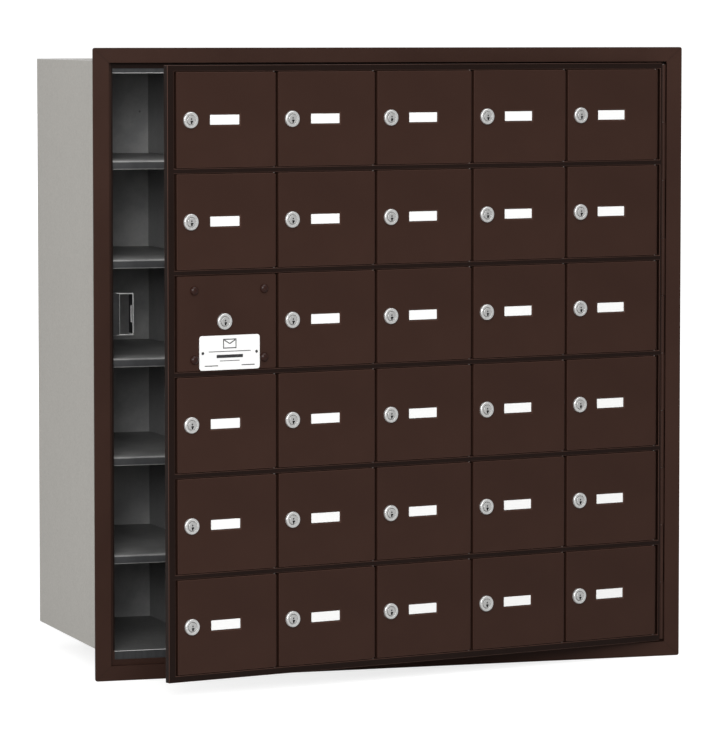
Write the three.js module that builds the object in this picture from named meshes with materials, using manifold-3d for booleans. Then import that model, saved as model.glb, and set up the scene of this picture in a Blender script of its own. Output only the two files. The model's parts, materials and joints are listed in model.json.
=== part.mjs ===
// Recessed cluster mailbox unit: a sheet-metal cabinet of mail compartments behind one large
// front-loading door, which carries a grid of small tenant doors, each with its own cam lock.
//
// Millimetres, +Z up, the front faces -Y, +Y goes into the wall. The origin lies on the wall
// plane, on the unit's centre line, at mid-height of the bottom trim flange.

import * as THREE from 'three';
import { mergeVertices } from 'three/addons/utils/BufferGeometryUtils.js';
import Module from 'manifold-3d';

const wasm = await Module();
wasm.setup();

// ---- Driving dimensions ---------------------------------------------------------------------

const COLUMNS = 5;
const ROWS = 6;
const COLUMN_PITCH = 155;
const ROW_PITCH = 133.35;
const MASTER_CELL = { row: 3, column: 1 }; // holds the master lock panel in place of a door
const LOCKED_COLUMN = 1; // the doors of this column carry their turning locks as solids

const SHEET = 1.5; // cabinet sheet
const DIVIDER = 1.2; // shelf and partition sheet
const FIT = 0.25; // assembly gap between fixed sheets
const SLOT_FIT = 0.3; // gap each side of a sheet in a cross-lap slot
const CABINET_DEPTH = 381;
const CABINET_RISE = 14; // the cabinet's bottom stands this far above the opening's lower edge

const OPENING = { width: 804, height: 814.5 };
const TRIM = { side: 22, top: 20, thick: 3, corner: 3, lip: 7.5, lipY: 7, seat: 0.3 };
const FLANGE = { bottomGap: 2, rise: 3.5, drop: 16, setBack: 1 }; // behind the trim's lip
const SHELF = { frontY: 12, lip: 12, toPartition: 2 };

const MASTER = { thick: 9.5, proud: 1, left: 10, right: 3.5, gapLeft: 4, gapRight: 3.5, angle: 14 };
const HINGE = { r: 3, boreR: 1.6, pinR: 1.3, count: 10, side: 1.5, gap: 1, air: 0.4, ends: 2 };
const LEAF = { width: 152, height: 125, thick: 3, barrelR: 3, returnDepth: 3.2, returnThick: 1.2 };
const BARREL_SHORT = 1.5; // the barrel stops this far inside each end of its leaf
const STOP = { thick: 3, side: 6.5, ends: 6 }; // the ledge round each cell that a leaf closes on
const CLEARANCE = 1; // round the end edges of a leaf
const TOP_RAIL = 8;
const DOOR_GAP = 2; // between the master door and the opening, top and bottom

const CARD = { width: 47, height: 16, deep: 1.2, fromLeft: 72.8 };
const LOCK = { fromLeft: 20.5, holeR: 9.6, plugR: 6, proud: 3.3 };
const KEYWAY = { halfWidth: 1.1, deep: 3, z: [-5.2, -0.8] };
const CAM = { length: 28, width: 12, thick: 2, y: 7.2, nutR: 3.5, nut: 1.4 };

const KEEPER = { height: 57, depth: 20.5, edge: 1, strip: 15, reach: 37, thick: 1.5, y: 10.5 };
const BOLT = { crank: 14, thick: 6, y: 15, height: 20, pinR: 2.5 };
const BOLT_AIR = 3; // between the retracted bolt and the keeper
const KEEPER_AIR = 1; // round the bolt in the keeper's slot
const CRANK = { edge: 3.5, thick: 2.5, gap: 2, pinShort: 0.5 }; // the disc on the master plug
const CRANK_SLOT = { side: 0.9, end: 0.8, wall: 4, tail: 8 };
const CASE = { flangeX: 58.5, flangeZ: 54, hatX: 50, hatZ: 32, air: 0.3, overBolt: 0.5 };
const PLATE = { width: 92, corner: 4, thick: 1.2, air: 0.3, z: [0.2, 45.8] };
const CARRIAGE = { domeR: 6, dome: 3.2, shankR: 3, grip: 5.6, nutR: 5, end: 9, air: 0.3 };
const PANEL_BOLTS = { x: 53.3, z: 45.5, holeR: 3.4 };

const JOIN = 0.3; // overlap that joins two solids of one piece
const PAST = 1; // how far a cutter runs past the faces it cuts

// ---- Worked-out levels ----------------------------------------------------------------------

const openingZ = [TRIM.top / 2, TRIM.top / 2 + OPENING.height];
const openingX = OPENING.width / 2;
const doorZ = [openingZ[0] + DOOR_GAP, openingZ[1] - DOOR_GAP];
const leafTop = doorZ[1] - TOP_RAIL - CLEARANCE; // top edge of the first row's leaves
const hingeX = openingX - HINGE.r - HINGE.side;
const hingeY = HINGE.r - TRIM.thick - MASTER.proud;
const frontY = -HINGE.r; // front face of the master door, seen from its hinge axis
const backY = frontY + MASTER.thick;
const stopY = backY - STOP.thick;

// Places on the master door are measured leftwards (towards -X) from its hinge axis.
const doorRight = HINGE.r + HINGE.gap;
const gridRight = doorRight + MASTER.right + MASTER.gapRight;
const gridLeft = gridRight + (COLUMNS - 1) * COLUMN_PITCH + LEAF.width;
const doorWidth = gridLeft + MASTER.gapLeft + MASTER.left;

const cabinetX = openingX + SHEET + FIT + SHEET;
const cabinetZ = [openingZ[0] + CABINET_RISE, openingZ[1] + SHEET + FIT + SHEET];
const innerX = cabinetX - SHEET;
const floorZ = cabinetZ[0] + SHEET;
const ceilingZ = cabinetZ[1] - SHEET;
const shelfPitch = (ceilingZ - floorZ) / ROWS;
const partitionPitch = (2 * innerX) / COLUMNS;
const trimBackY = TRIM.lipY + SHEET;
const partitionFrontY = SHELF.frontY + SHELF.toPartition;
const dividerBackY = CABINET_DEPTH - SHEET - 2 * FIT;
const crossLapY = (partitionFrontY + dividerBackY) / 2;

const leafBottomOf = (row) => leafTop - (row - 1) * ROW_PITCH - LEAF.height;
const leafAxisOf = (column) => -(gridRight + (COLUMNS - column) * COLUMN_PITCH + LEAF.barrelR);
const leafLeft = LEAF.barrelR - LEAF.width;
const leafMiddle = { x: leafLeft / 2 + LEAF.barrelR / 2, z: LEAF.height / 2 };
const masterLock = { x: leafMiddle.x - 4.8, z: leafMiddle.z + 1.6 };
const panelMiddle = { x: leafMiddle.x + 2.5, z: leafMiddle.z - 2.2 }; // of the carriage bolts

// ---- Solids ---------------------------------------------------------------------------------

// A closed three.js geometry as a solid that can be joined and cut.
function solid(geometry) {
  const bare = geometry.clone();
  bare.deleteAttribute('normal');
  bare.deleteAttribute('uv');
  const merged = mergeVertices(bare, 1e-4);
  return new wasm.Manifold(
    new wasm.Mesh({
      numProp: 3,
      vertProperties: merged.attributes.position.array,
      triVerts: new Uint32Array(merged.index.array),
    }),
  );
}

// The other way round: a solid as a three.js geometry.
function geometryOf(body) {
  const mesh = body.getMesh();
  const geometry = new THREE.BufferGeometry();
  geometry.setAttribute('position', new THREE.BufferAttribute(mesh.vertProperties, 3));
  geometry.setIndex(new THREE.BufferAttribute(mesh.triVerts, 1));
  return geometry;
}

// A block between two corners, each axis given as [low, high].
function block(x, y, z) {
  const geometry = new THREE.BoxGeometry(x[1] - x[0], y[1] - y[0], z[1] - z[0]);
  geometry.translate((x[0] + x[1]) / 2, (y[0] + y[1]) / 2, (z[0] + z[1]) / 2);
  return solid(geometry);
}

// A round bar along Y.
function barY(x, z, radius, y, segments = 16) {
  const geometry = new THREE.CylinderGeometry(radius, radius, y[1] - y[0], segments);
  geometry.translate(x, (y[0] + y[1]) / 2, z);
  return solid(geometry);
}

// A round bar along Z.
function barZ(x, y, radius, z, segments = 12) {
  const geometry = new THREE.CylinderGeometry(radius, radius, z[1] - z[0], segments);
  geometry.rotateX(Math.PI / 2);
  geometry.translate(x, y, (z[0] + z[1]) / 2);
  return solid(geometry);
}

// An upright outline in X and Z, given a thickness along Y.
function platedXZ(shape, y, curveSegments = 6) {
  const options = { depth: y[1] - y[0], bevelEnabled: false, curveSegments };
  const geometry = new THREE.ExtrudeGeometry(shape, options);
  geometry.rotateX(Math.PI / 2);
  geometry.translate(0, y[1], 0);
  return solid(geometry);
}

// A rectangle with rounded corners.
function roundedRect(x, z, radius) {
  const shape = new THREE.Shape();
  shape.moveTo(x[0] + radius, z[0]);
  shape.lineTo(x[1] - radius, z[0]);
  shape.absarc(x[1] - radius, z[0] + radius, radius, -Math.PI / 2, 0);
  shape.lineTo(x[1], z[1] - radius);
  shape.absarc(x[1] - radius, z[1] - radius, radius, 0, Math.PI / 2);
  shape.lineTo(x[0] + radius, z[1]);
  shape.absarc(x[0] + radius, z[1] - radius, radius, Math.PI / 2, Math.PI);
  shape.lineTo(x[0], z[0] + radius);
  shape.absarc(x[0] + radius, z[0] + radius, radius, Math.PI, 1.5 * Math.PI);
  return shape;
}

// ---- Cabinet --------------------------------------------------------------------------------

// Mitred, welded trim: a wall flange, a return into the opening and the lip the door closes on.
// A low seat behind the flange carries the cabinet's front edges.
function trimFrame() {
  const outerX = openingX + TRIM.side;
  const outerZ = [openingZ[0] - TRIM.top, openingZ[1] + TRIM.top];
  const outline = roundedRect([-outerX, outerX], outerZ, TRIM.corner);
  const flange = platedXZ(outline, [-TRIM.thick, 0]);
  const returns = block(
    [-openingX - SHEET, openingX + SHEET],
    [-TRIM.thick, trimBackY],
    [openingZ[0] - SHEET, openingZ[1] + SHEET],
  );
  const seat = block(
    [-cabinetX - FIT, cabinetX + FIT],
    [-TRIM.thick, TRIM.seat],
    [openingZ[0] - SHEET, cabinetZ[1] + FIT],
  );
  const throat = block([-openingX, openingX], [-TRIM.thick - PAST, TRIM.lipY], openingZ);
  const insideLip = block(
    [-openingX + TRIM.lip, openingX - TRIM.lip],
    [-TRIM.thick - PAST, trimBackY + PAST],
    [openingZ[0] + TRIM.lip, openingZ[1] - TRIM.lip],
  );
  return flange.add(returns).add(seat).subtract(throat).subtract(insideLip);
}

// The wrapper: two sides, top and bottom, with a flange behind the trim's lip.
function cabinetShell() {
  const depth = [TRIM.seat + FIT, CABINET_DEPTH];
  const flangeY = [trimBackY + FIT, trimBackY + FIT + SHEET];
  const width = [-innerX, innerX];
  const walls = block([-cabinetX, cabinetX], depth, cabinetZ)
    .subtract(block(width, [depth[0] - PAST, depth[1] + PAST], [floorZ, ceilingZ]))
    .subtract(block(width, [depth[0] - PAST, flangeY[0]], [cabinetZ[0] - PAST, ceilingZ]));
  const inside = openingX - TRIM.lip + FLANGE.setBack;
  const flange = block(width, flangeY, [openingZ[0] + FLANGE.bottomGap, ceilingZ]).subtract(
    block(
      [-inside, inside],
      [flangeY[0] - PAST, flangeY[1] + PAST],
      [floorZ + FLANGE.rise, ceilingZ - FLANGE.drop],
    ),
  );
  return walls.add(flange);
}

function cabinetBack() {
  return block(
    [-innerX + FIT, innerX - FIT],
    [CABINET_DEPTH - SHEET - FIT, CABINET_DEPTH - FIT],
    [floorZ + FIT, ceilingZ - FIT],
  );
}

// A full-height partition, slotted from behind to lap over the shelves.
function partition(x) {
  let sheet = block(
    [x - DIVIDER / 2, x + DIVIDER / 2],
    [partitionFrontY, dividerBackY],
    [floorZ + FIT, ceilingZ - FIT],
  );
  for (let level = 1; level < ROWS; level++) {
    const top = floorZ + level * shelfPitch;
    sheet = sheet.subtract(
      block(
        [x - DIVIDER, x + DIVIDER],
        [crossLapY, dividerBackY + PAST],
        [top - DIVIDER - SLOT_FIT, top + SLOT_FIT],
      ),
    );
  }
  return sheet;
}

// A full-width shelf with a lip folded down at its front, slotted for the partitions.
function shelf(top) {
  const width = [-innerX + FIT, innerX - FIT];
  const lipY = [SHELF.frontY, SHELF.frontY + DIVIDER];
  let sheet = block(width, [SHELF.frontY, dividerBackY], [top - DIVIDER, top]);
  sheet = sheet.add(block(width, lipY, [top - SHELF.lip, top]));
  for (let n = 1; n < COLUMNS; n++) {
    const x = -innerX + n * partitionPitch;
    sheet = sheet.subtract(
      block(
        [x - DIVIDER / 2 - SLOT_FIT, x + DIVIDER / 2 + SLOT_FIT],
        [partitionFrontY - SLOT_FIT, crossLapY + SLOT_FIT],
        [top - 2 * DIVIDER, top + DIVIDER],
      ),
    );
  }
  return sheet;
}

// The keeper on the left front flange: a pocket whose far wall is slotted for the lock bolt.
function strikeKeeper(middle) {
  const z = [middle - KEEPER.height / 2, middle + KEEPER.height / 2];
  const y = [KEEPER.y, KEEPER.y + KEEPER.depth];
  const left = -openingX + KEEPER.edge;
  const pocket = [left + KEEPER.strip, -openingX + KEEPER.reach];
  const strip = block([left, pocket[0] + KEEPER.thick], [y[0], y[0] + KEEPER.thick], z);
  const walls = block(pocket, y, z).subtract(
    block(
      [pocket[0] - PAST, pocket[1] - KEEPER.thick],
      [y[0] - PAST, y[1] + PAST],
      [z[0] + KEEPER.thick, z[1] - KEEPER.thick],
    ),
  );
  const slot = block(
    [pocket[1] - KEEPER.thick - PAST, pocket[1] + PAST],
    [hingeY + BOLT.y - KEEPER_AIR, hingeY + BOLT.y + BOLT.thick + KEEPER_AIR],
    [middle - BOLT.height / 2 - KEEPER_AIR, middle + BOLT.height / 2 + KEEPER_AIR],
  );
  return strip.add(walls).subtract(slot);
}

// ---- Master door, modelled closed and seen from its hinge axis ------------------------------

// One lattice: stiles and rails round the grid, with stops behind every cell.
function masterFrame() {
  let lattice = block([-doorWidth, -doorRight], [frontY, backY], doorZ);
  const gridX = [-gridLeft - MASTER.gapLeft, -gridRight + MASTER.gapRight];
  for (let row = 1; row <= ROWS; row++) {
    const z = [leafBottomOf(row), leafBottomOf(row) + LEAF.height];
    const pocketZ = [z[0] - CLEARANCE, z[1] + CLEARANCE];
    lattice = lattice.subtract(block(gridX, [frontY - PAST, stopY], pocketZ));
    for (let column = 1; column <= COLUMNS; column++) {
      const axis = leafAxisOf(column);
      const cell = [axis + leafLeft + STOP.side, axis + LEAF.barrelR - STOP.side];
      lattice = lattice.subtract(
        block(cell, [stopY - PAST, backY + PAST], [z[0] + STOP.ends, z[1] - STOP.ends]),
      );
    }
  }
  return lattice;
}

const hingeZ = [doorZ[0] + HINGE.ends, doorZ[1] - HINGE.ends];

// One leaf of the long hinge. side is +1 for the leaf on the trim and -1 for the door's leaf.
function hingeLeaf(side, firstKnuckle) {
  const length = (hingeZ[1] - hingeZ[0]) / HINGE.count;
  const near = HINGE.r - HINGE.air;
  const plateX = [side * near, side * (near + DIVIDER)].sort((a, b) => a - b);
  const reach = side > 0 ? TRIM.lipY - hingeY - FIT - HINGE.air : backY;
  let leaf = block(plateX, [HINGE.r + HINGE.air, reach], hingeZ);
  for (let n = firstKnuckle; n < HINGE.count; n += 2) {
    const z = [hingeZ[0] + n * length + SLOT_FIT, hingeZ[0] + (n + 1) * length - SLOT_FIT];
    leaf = leaf.add(barZ(0, 0, HINGE.r, z));
    leaf = leaf.add(block(plateX, [0, HINGE.r + HINGE.air + JOIN], z));
  }
  return leaf.subtract(barZ(0, 0, HINGE.boreR, [hingeZ[0] - PAST, hingeZ[1] + PAST], 8));
}

function hingePin() {
  return barZ(0, 0, HINGE.pinR, hingeZ, 8);
}

// ---- Tenant door, seen from its own hinge axis, standing on its bottom edge -----------------

// A formed leaf with returned edges, a barrel along its right edge and a lock hole.
function leafBlank(lock) {
  const z = [0, LEAF.height];
  const front = -LEAF.barrelR;
  const skinBack = front + LEAF.thick;
  const returned = [skinBack - JOIN, LEAF.returnDepth];
  const endReturn = [leafLeft, -2 * LEAF.barrelR];
  return block([leafLeft, 0], [front, skinBack], z)
    .add(barZ(0, 0, LEAF.barrelR, [z[0] + BARREL_SHORT, z[1] - BARREL_SHORT]))
    .add(block([leafLeft, leafLeft + LEAF.returnThick], returned, z))
    .add(block(endReturn, returned, [z[1] - LEAF.returnThick, z[1]]))
    .add(block(endReturn, returned, [z[0], z[0] + LEAF.returnThick]))
    .subtract(barY(lock.x, lock.z, LOCK.holeR, [front - PAST, skinBack + PAST]));
}

function tenantLeaf() {
  const cardX = leafLeft + CARD.fromLeft;
  const recess = block(
    [cardX - CARD.width / 2, cardX + CARD.width / 2],
    [-LEAF.barrelR - PAST, -LEAF.barrelR + CARD.deep],
    [leafMiddle.z - CARD.height / 2, leafMiddle.z + CARD.height / 2],
  );
  return leafBlank({ x: leafLeft + LOCK.fromLeft, z: leafMiddle.z }).subtract(recess);
}

// A plug with its keyway, seen from its turning axis.
function plug(backEnd) {
  const front = frontY - LOCK.proud;
  const width = [-KEYWAY.halfWidth, KEYWAY.halfWidth];
  const keyway = block(width, [front - PAST, front + KEYWAY.deep], KEYWAY.z);
  return barY(0, 0, LOCK.plugR, [front, backEnd]).subtract(keyway);
}

// The tenant lock's turning parts: plug and cam, with the cam hanging down when unlocked.
function tenantLock() {
  const half = CAM.width / 2;
  const arm = new THREE.Shape();
  arm.absarc(0, 0, half, 0, Math.PI);
  arm.absarc(0, half - CAM.length, half, Math.PI, 2 * Math.PI);
  return plug(CAM.y)
    .add(platedXZ(arm, [CAM.y - JOIN, CAM.y + CAM.thick], 5))
    .add(barY(0, 0, CAM.nutR, [CAM.y, CAM.y + CAM.thick + CAM.nut], 6));
}

// ---- Master lock ----------------------------------------------------------------------------

// Centres of the four carriage bolts that hold the lock case behind its panel.
const boltPlaces = [-1, 1].flatMap((side) =>
  [1, -1].map((end) => ({
    x: panelMiddle.x + side * PANEL_BOLTS.x,
    z: panelMiddle.z + end * PANEL_BOLTS.z,
  })),
);

function withBoltHoles(body) {
  const through = [frontY - PAST, backY];
  return boltPlaces.reduce(
    (cut, at) => cut.subtract(barY(at.x, at.z, PANEL_BOLTS.holeR, through, 8)),
    body,
  );
}

function masterLockPanel() {
  return withBoltHoles(leafBlank(masterLock));
}

// A hat-section case behind the panel, open at both ends for the sliding bolt.
function masterLockCase() {
  const hatX = [panelMiddle.x - CASE.hatX, panelMiddle.x + CASE.hatX];
  const web = BOLT.y + BOLT.thick + CASE.overBolt;
  const flanges = block(
    [panelMiddle.x - CASE.flangeX, panelMiddle.x + CASE.flangeX],
    [CASE.air, CASE.air + SHEET],
    [panelMiddle.z - CASE.flangeZ, panelMiddle.z + CASE.flangeZ],
  );
  const hat = block(
    hatX,
    [CASE.air, web + SHEET],
    [masterLock.z - CASE.hatZ, masterLock.z + CASE.hatZ],
  );
  const hollow = block(
    [hatX[0] - PAST, hatX[1] + PAST],
    [CASE.air + SHEET, web],
    [masterLock.z - CASE.hatZ + SHEET, masterLock.z + CASE.hatZ - SHEET],
  );
  const doorway = block(
    [hatX[0] + SHEET, hatX[1] - SHEET],
    [-PAST, web],
    [masterLock.z - CASE.hatZ + SHEET, masterLock.z + CASE.hatZ - SHEET],
  );
  return withBoltHoles(flanges.add(hat).subtract(hollow).subtract(doorway));
}

// Carriage bolt and nut, one turned outline along Y.
function carriageBolt() {
  const steps = 4;
  const outline = [new THREE.Vector2(0, CARRIAGE.dome)];
  for (let step = 1; step <= steps; step++) {
    const angle = (step / steps) * (Math.PI / 2);
    const radius = CARRIAGE.domeR * Math.sin(angle);
    outline.push(new THREE.Vector2(radius, CARRIAGE.dome * Math.cos(angle)));
  }
  outline.push(new THREE.Vector2(CARRIAGE.shankR, 0));
  outline.push(new THREE.Vector2(CARRIAGE.shankR, -CARRIAGE.grip));
  outline.push(new THREE.Vector2(CARRIAGE.nutR, -CARRIAGE.grip));
  outline.push(new THREE.Vector2(CARRIAGE.nutR, -CARRIAGE.end));
  outline.push(new THREE.Vector2(0, -CARRIAGE.end));
  const geometry = new THREE.LatheGeometry(outline.reverse(), 12);
  geometry.rotateX(Math.PI);
  geometry.translate(0, frontY - CARRIAGE.air, 0);
  return solid(geometry);
}

// Blank identification plate under the lock.
function idPlate() {
  const x = [panelMiddle.x - PLATE.width / 2, panelMiddle.x + PLATE.width / 2];
  const back = frontY - PLATE.air;
  return platedXZ(roundedRect(x, PLATE.z, PLATE.corner), [back - PLATE.thick, back], 3);
}

// The crank pin starts 45 degrees to the right of straight down and turns to the left.
const crankRest = { x: BOLT.crank * Math.SQRT1_2, z: -BOLT.crank * Math.SQRT1_2 };

function masterLockPlug() {
  const discBack = BOLT.y - CRANK.gap;
  const disc = [discBack - CRANK.thick, discBack];
  const pin = [discBack - JOIN, BOLT.y + BOLT.thick - CRANK.pinShort];
  return plug(discBack)
    .add(barY(0, 0, BOLT.crank + CRANK.edge, disc, 24))
    .add(barY(crankRest.x, crankRest.z, BOLT.pinR, pin, 12));
}

// The bolt, retracted: a bar to the left with an upright slot in its tail for the crank pin.
function masterLockBolt() {
  const y = [BOLT.y, BOLT.y + BOLT.thick];
  const half = BOLT.height / 2;
  const tail = [crankRest.x - CRANK_SLOT.tail, crankRest.x + CRANK_SLOT.tail];
  const keeperRight = -openingX + KEEPER.reach;
  const lockX = hingeX + leafAxisOf(MASTER_CELL.column) + masterLock.x;
  const nose = keeperRight + BOLT_AIR - lockX;
  const slotHalf = BOLT.pinR + CRANK_SLOT.side;
  const slotZ = [
    -BOLT.crank - BOLT.pinR - CRANK_SLOT.end,
    crankRest.z + BOLT.pinR + CRANK_SLOT.end,
  ];
  return block([nose, tail[1]], y, [-half, half])
    .add(block(tail, y, [slotZ[0] - CRANK_SLOT.wall, half]))
    .subtract(
      block([crankRest.x - slotHalf, crankRest.x + slotHalf], [y[0] - PAST, y[1] + PAST], slotZ),
    );
}

// ---- Assembly -------------------------------------------------------------------------------

function finish(color, roughness, metalness) {
  return () => new THREE.MeshStandardMaterial({ color, roughness, metalness });
}
const bronzePaint = finish(0x3f2c25, 0.45, 0.2);
const greyMetal = finish(0xa5a29c, 0.5, 0.5);
const darkMetal = finish(0x6c7072, 0.45, 0.7);
const brightMetal = finish(0xc9c9c6, 0.25, 0.9);
const plateWhite = finish(0xf2f2f0, 0.4, 0.1);

function piece(name, body, material) {
  const mesh = new THREE.Mesh(geometryOf(body), material());
  mesh.name = name;
  return mesh;
}

function group(x, y, z, ...children) {
  const made = new THREE.Group();
  made.position.set(x, y, z);
  if (children.length) made.add(...children);
  return made;
}

const mailbox = new THREE.Group();
const lockHeight = leafBottomOf(MASTER_CELL.row) + masterLock.z;

mailbox.add(
  piece('trim_frame', trimFrame(), bronzePaint),
  piece('cabinet_shell', cabinetShell(), greyMetal),
  piece('cabinet_back', cabinetBack(), darkMetal),
  piece('strike_keeper', strikeKeeper(lockHeight), darkMetal),
  group(hingeX, hingeY, 0, piece('hinge_leaf_trim', hingeLeaf(1, 0), bronzePaint)),
  group(hingeX, hingeY, 0, piece('hinge_pin', hingePin(), brightMetal)),
);
for (let n = 1; n < COLUMNS; n++) {
  mailbox.add(piece(`partition_${n}`, partition(-innerX + n * partitionPitch), darkMetal));
}
for (let n = 1; n < ROWS; n++) {
  mailbox.add(piece(`shelf_${n}`, shelf(ceilingZ - n * shelfPitch), darkMetal));
}

const masterDoor = group(
  hingeX,
  hingeY,
  0,
  piece('master_door_frame', masterFrame(), bronzePaint),
  piece('hinge_leaf_door', hingeLeaf(-1, 1), bronzePaint),
);
masterDoor.rotation.z = THREE.MathUtils.degToRad(MASTER.angle);
mailbox.add(masterDoor);

const lockPanel = group(
  leafAxisOf(MASTER_CELL.column),
  0,
  leafBottomOf(MASTER_CELL.row),
  piece('master_lock_panel', masterLockPanel(), bronzePaint),
  piece('master_lock_case', masterLockCase(), darkMetal),
  piece('id_plate', idPlate(), plateWhite),
  group(masterLock.x, 0, masterLock.z, piece('master_lock_plug', masterLockPlug(), brightMetal)),
  group(masterLock.x, 0, masterLock.z, piece('master_lock_bolt', masterLockBolt(), darkMetal)),
);
boltPlaces.forEach((at, n) => {
  lockPanel.add(group(at.x, 0, at.z, piece(`panel_bolt_${n + 1}`, carriageBolt(), bronzePaint)));
});
masterDoor.add(lockPanel);

for (let row = 1; row <= ROWS; row++) {
  for (let column = 1; column <= COLUMNS; column++) {
    if (row === MASTER_CELL.row && column === MASTER_CELL.column) continue;
    const place = `r${row}c${column}`;
    const door = group(leafAxisOf(column), 0, leafBottomOf(row));
    door.add(piece(`tenant_door_${place}`, tenantLeaf(), bronzePaint));
    if (column === LOCKED_COLUMN) {
      const lock = piece(`tenant_lock_${place}`, tenantLock(), brightMetal);
      door.add(group(leafLeft + LOCK.fromLeft, 0, leafMiddle.z, lock));
    }
    masterDoor.add(door);
  }
}

export default mailbox;
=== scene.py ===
"""Looks for a recessed cluster mailbox unit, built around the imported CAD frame.

Lengths are metres in the CAD's own frame: +Z up, the front faces -Y. Small sizes are written in
millimetres and multiplied by MM. Each tenant door has a local frame on its hinge axis at mid-height,
turned with the ajar master door, so -X runs along the door to its lock side and -Y points outwards.
"""

import json
import math

import bmesh
import bpy
from mathutils import Matrix, Vector

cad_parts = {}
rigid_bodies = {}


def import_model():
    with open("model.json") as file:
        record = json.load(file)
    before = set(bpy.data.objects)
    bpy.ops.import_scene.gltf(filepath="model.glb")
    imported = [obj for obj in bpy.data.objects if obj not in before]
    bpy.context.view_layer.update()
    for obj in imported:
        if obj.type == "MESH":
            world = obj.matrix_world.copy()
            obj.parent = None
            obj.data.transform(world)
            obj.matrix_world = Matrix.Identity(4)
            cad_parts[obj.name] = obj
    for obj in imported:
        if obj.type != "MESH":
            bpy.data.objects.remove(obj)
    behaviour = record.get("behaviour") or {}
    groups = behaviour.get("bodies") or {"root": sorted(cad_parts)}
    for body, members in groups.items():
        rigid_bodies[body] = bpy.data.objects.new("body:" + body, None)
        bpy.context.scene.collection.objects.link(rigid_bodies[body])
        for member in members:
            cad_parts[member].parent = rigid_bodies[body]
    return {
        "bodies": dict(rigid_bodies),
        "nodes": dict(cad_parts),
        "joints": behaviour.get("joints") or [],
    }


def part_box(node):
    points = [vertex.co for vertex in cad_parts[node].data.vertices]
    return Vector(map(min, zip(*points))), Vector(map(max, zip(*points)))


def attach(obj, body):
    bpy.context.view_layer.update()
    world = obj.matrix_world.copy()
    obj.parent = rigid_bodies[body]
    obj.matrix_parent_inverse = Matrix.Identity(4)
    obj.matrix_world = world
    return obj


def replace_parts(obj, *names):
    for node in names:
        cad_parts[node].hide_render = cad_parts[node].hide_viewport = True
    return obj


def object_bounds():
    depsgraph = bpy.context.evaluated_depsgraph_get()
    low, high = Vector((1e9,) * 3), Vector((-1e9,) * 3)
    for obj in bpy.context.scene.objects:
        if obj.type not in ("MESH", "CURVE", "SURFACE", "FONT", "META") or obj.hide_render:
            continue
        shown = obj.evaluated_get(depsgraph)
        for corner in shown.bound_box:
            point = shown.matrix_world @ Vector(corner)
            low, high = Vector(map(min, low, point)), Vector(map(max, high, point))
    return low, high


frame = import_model()
cad_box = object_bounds()

MM = 0.001
BODIES = frame["bodies"]
NODES = frame["nodes"]
JOINTS = {j["name"]: j for j in frame["joints"]}
DOOR_PLACES = sorted(n[len("tenant_door_"):] for n in BODIES if n.startswith("tenant_door_"))

# ---- Sizes ------------------------------------------------------------------------------------

LEAF_FRONT = -3.0 * MM  # the front face of a leaf, from its hinge axis
LEAF_LEFT = -149.0 * MM
CARD_MIDDLE = LEAF_LEFT + 72.8 * MM
CARD_SIZE = (44.2 * MM, 12.9 * MM)
CARD_FLOOR = LEAF_FRONT + 1.2 * MM
PLUG_PROUD = 3.3 * MM
PLUG_RADIUS = 6.0 * MM
CAM_Y = 7.2 * MM
CAM_LENGTH = 28.0 * MM
CAM_WIDTH = 12.0 * MM
CAM_THICK = 2.0 * MM
CRANK_RADIUS = 14.0 * MM
CRANK_DISC = (10.5 * MM, 13.0 * MM)
CRANK_PIN_END = 20.5 * MM
SHELL_BOTTOM = 24 * MM
TRIM_CORNER = (22 * MM, 20 * MM)  # width of the trim's face at the sides, and at top and bottom
PIN_START = 60.8 * MM  # the pivot pins, from a door's mid-height
PIN_END = 63.4 * MM
PIN_RADIUS = 1.1 * MM
BOLT_DOME = 4.2 * MM
BOLT_HEAD = 6.1 * MM
BOLT_SHANK = 2.9 * MM
SHELF_SHEET = 1.2 * MM
SHELF_FOLD = 2.4 * MM
SNAP = 0.001 * MM  # remade shapes have their corners rounded to this

SMOOTH_BELOW = math.radians(35)  # faces meeting flatter than this are shaded as one
ROUND_ABOVE = math.radians(40)  # edges sharper than this are rounded over

# ---- Mesh building ----------------------------------------------------------------------------


def obj_from(bm, name):
    """A mesh object from a bmesh, smooth except at its sharp edges."""
    mesh = bpy.data.meshes.new(name)
    bmesh.ops.recalc_face_normals(bm, faces=bm.faces)
    bm.to_mesh(mesh)
    bm.free()
    for polygon in mesh.polygons:
        polygon.use_smooth = True
    mesh.set_sharp_from_angle(angle=SMOOTH_BELOW)
    made = bpy.data.objects.new(name, mesh)
    bpy.context.scene.collection.objects.link(made)
    return made


def add_lathe(bm, profile, segments=48, closed=False, centre=(0, 0)):
    """Turns a profile of (radius, y) points about an axis along Y through (x, z)."""
    rings = []
    for radius, y in profile:
        if radius < 1e-9:
            rings.append([bm.verts.new((centre[0], y, centre[1]))])
            continue
        ring = []
        for step in range(segments):
            angle = 2 * math.pi * step / segments
            at = (centre[0] + radius * math.cos(angle), y, centre[1] + radius * math.sin(angle))
            ring.append(bm.verts.new(at))
        rings.append(ring)
    pairs = list(zip(rings, rings[1:]))
    if closed:
        pairs.append((rings[-1], rings[0]))
    for a, b in pairs:
        for step in range(segments):
            after = (step + 1) % segments
            corners = [a[step % len(a)], a[after % len(a)], b[after % len(b)], b[step % len(b)]]
            bm.faces.new(list(dict.fromkeys(corners)))


def rounded_outline(width, height, radius, centre=(0, 0), arc_steps=6):
    """Corner points of a rounded rectangle in X and Z, anticlockwise."""
    points = []
    for quarter, (sx, sz) in enumerate(((1, 1), (-1, 1), (-1, -1), (1, -1))):
        cx = centre[0] + sx * (width / 2 - radius)
        cz = centre[1] + sz * (height / 2 - radius)
        for step in range(arc_steps + 1):
            angle = (quarter + step / arc_steps) * math.pi / 2
            points.append((cx + radius * math.cos(angle), cz + radius * math.sin(angle)))
    return points


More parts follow.
